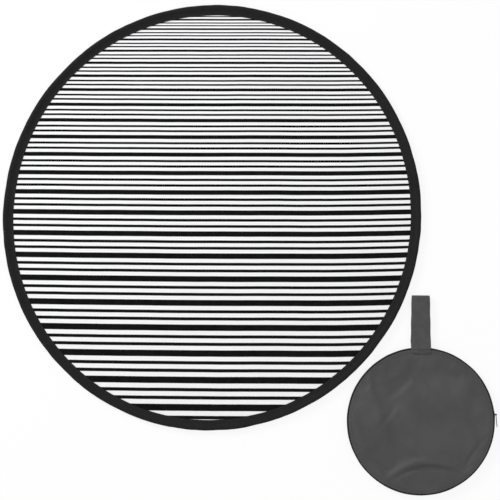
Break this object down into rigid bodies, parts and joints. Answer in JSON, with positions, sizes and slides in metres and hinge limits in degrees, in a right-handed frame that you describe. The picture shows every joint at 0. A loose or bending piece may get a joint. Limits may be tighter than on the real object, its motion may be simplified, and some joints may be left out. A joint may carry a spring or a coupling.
{
  "type": "collapsible line panel with pouch",
  "caption": "Round twist-fold cloth panel printed with graduated black lines, on a spring-steel hoop, with its round zipped carrying pouch.",
  "frame": {"origin": "centre of the open panel, on the plane that the underside of its rim lies on", "axes": "+Z out of the printed face, +X along the printed lines, +Y across them towards the narrow spacing; the sides fold about lines along Y"},
  "size_m": [0.9369, 0.9289, 0.0132],
  "materials": {
    "printed_cloth": "white woven polyester, black printed lines",
    "back_cloth": "plain white woven polyester",
    "binding_tape": "black woven binding tape",
    "spring_steel": "blued flat spring steel",
    "sleeve_steel": "zinc plated",
    "pouch_nylon": "dark grey woven nylon",
    "pouch_piping": "black piping",
    "zip_tape": "black zip tape",
    "zip_coil": "black nylon coil",
    "zip_metal": "black enamelled zinc casting",
    "webbing": "dark grey polypropylene webbing"
  },
  "bodies": {
    "centre": {"back_cloth_centre": "back_cloth", "binding_centre_lower": "binding_tape", "binding_centre_upper": "binding_tape", "face_cloth_centre": "printed_cloth", "hoop_band_centre": "spring_steel"},
    "right_1": {"back_cloth_right_1": "back_cloth", "binding_right_1_lower": "binding_tape", "binding_right_1_upper": "binding_tape", "face_cloth_right_1": "printed_cloth", "hoop_band_right_1": "spring_steel"},
    "right_2": {"back_cloth_right_2": "back_cloth", "binding_right_2_lower": "binding_tape", "binding_right_2_upper": "binding_tape", "face_cloth_right_2": "printed_cloth", "hoop_band_right_2": "spring_steel"},
    "right_3": {"back_cloth_right_3": "back_cloth", "binding_right_3_lower": "binding_tape", "binding_right_3_upper": "binding_tape", "face_cloth_right_3": "printed_cloth", "hoop_band_right_3": "spring_steel", "hoop_sleeve": "sleeve_steel", "hoop_sleeve_rivets": "sleeve_steel"},
    "left_1": {"back_cloth_left_1": "back_cloth", "binding_left_1_lower": "binding_tape", "binding_left_1_upper": "binding_tape", "face_cloth_left_1": "printed_cloth", "hoop_band_left_1": "spring_steel"},
    "left_2": {"back_cloth_left_2": "back_cloth", "binding_left_2_lower": "binding_tape", "binding_left_2_upper": "binding_tape", "face_cloth_left_2": "printed_cloth", "hoop_band_left_2": "spring_steel"},
    "left_3": {"back_cloth_left_3": "back_cloth", "binding_left_3_lower": "binding_tape", "binding_left_3_upper": "binding_tape", "face_cloth_left_3": "printed_cloth", "hoop_band_left_3": "spring_steel"},
    "pouch": {"pouch_back_panel": "pouch_nylon", "pouch_back_piping": "pouch_piping", "pouch_gusset": "pouch_nylon", "pouch_front_panel": "pouch_nylon", "pouch_front_piping": "pouch_piping", "zip_tape_lower": "zip_tape", "zip_coil_lower": "zip_coil", "zip_top_stop_lower": "zip_metal", "zip_bottom_stop": "zip_metal", "strap_anchor": "webbing"},
    "pouch_flap": {"pouch_flap_panel": "pouch_nylon", "pouch_flap_piping": "pouch_piping", "zip_tape_upper": "zip_tape", "zip_coil_upper": "zip_coil", "zip_top_stop_upper": "zip_metal"},
    "zip_slider": {"zip_slider": "zip_metal"},
    "zip_pull_tab": {"zip_pull_tab": "zip_metal"},
    "strap": {"strap_loop": "webbing"}
  },
  "joints": [
    {"name": "fold_right_1", "type": "hinge", "parent": "centre", "child": "right_1", "pos_m": [0.048, 0, 0.0086], "axis": [0, -1, 0], "range_deg": [0, 39], "stiffness_Nm_per_rad": 0.05},
    {"name": "fold_right_2", "type": "hinge", "parent": "right_1", "child": "right_2", "pos_m": [0.144, 0, 0.0086], "axis": [0, -1, 0], "range_deg": [0, 39], "stiffness_Nm_per_rad": 0.05},
    {"name": "fold_right_3", "type": "hinge", "parent": "right_2", "child": "right_3", "pos_m": [0.24, 0, 0.0086], "axis": [0, -1, 0], "range_deg": [0, 39], "stiffness_Nm_per_rad": 0.05},
    {"name": "fold_left_1", "type": "hinge", "parent": "centre", "child": "left_1", "pos_m": [-0.048, 0, 0.0086], "axis": [0, 1, 0], "range_deg": [0, 39], "stiffness_Nm_per_rad": 0.05},
    {"name": "fold_left_2", "type": "hinge", "parent": "left_1", "child": "left_2", "pos_m": [-0.144, 0, 0.0086], "axis": [0, 1, 0], "range_deg": [0, 39], "stiffness_Nm_per_rad": 0.05},
    {"name": "fold_left_3", "type": "hinge", "parent": "left_2", "child": "left_3", "pos_m": [-0.24, 0, 0.0086], "axis": [0, 1, 0], "range_deg": [0, 39], "stiffness_Nm_per_rad": 0.05},
    {"name": "pouch_lift", "type": "slide", "parent": "centre", "child": "pouch", "axis": [0, 0, 1], "range_m": [0, 0.3]},
    {"name": "zip_run", "type": "hinge", "parent": "pouch", "child": "zip_slider", "pos_m": [0.39506, -0.38553, 0.0046], "axis": [0, 0, -1], "range_deg": [0, 188]},
    {"name": "flap_open", "type": "hinge", "parent": "pouch", "child": "pouch_flap", "pos_m": [0.39506, -0.36063, 0.0134], "axis": [-1, 0, 0], "range_deg": [0, 56.4]},
    {"name": "tab_swing", "type": "hinge", "parent": "zip_slider", "child": "zip_pull_tab", "pos_m": [0.53748, -0.37267, 0.0046], "axis": [0, 0, 1], "range_deg": [0, 150]},
    {"name": "strap_swing", "type": "hinge", "parent": "pouch", "child": "strap", "pos_m": [0.39506, -0.24502, 0.012], "axis": [1, 0, 0], "range_deg": [0, 170]}
  ],
  "couplings": [
    {"joint": "fold_right_2", "follows": "fold_right_1", "ratio": 1},
    {"joint": "fold_right_3", "follows": "fold_right_1", "ratio": 1},
    {"joint": "fold_left_1", "follows": "fold_right_1", "ratio": 1},
    {"joint": "fold_left_2", "follows": "fold_right_1", "ratio": 1},
    {"joint": "fold_left_3", "follows": "fold_right_1", "ratio": 1},
    {"joint": "flap_open", "follows": "zip_run", "ratio": 0.3}
  ]
}
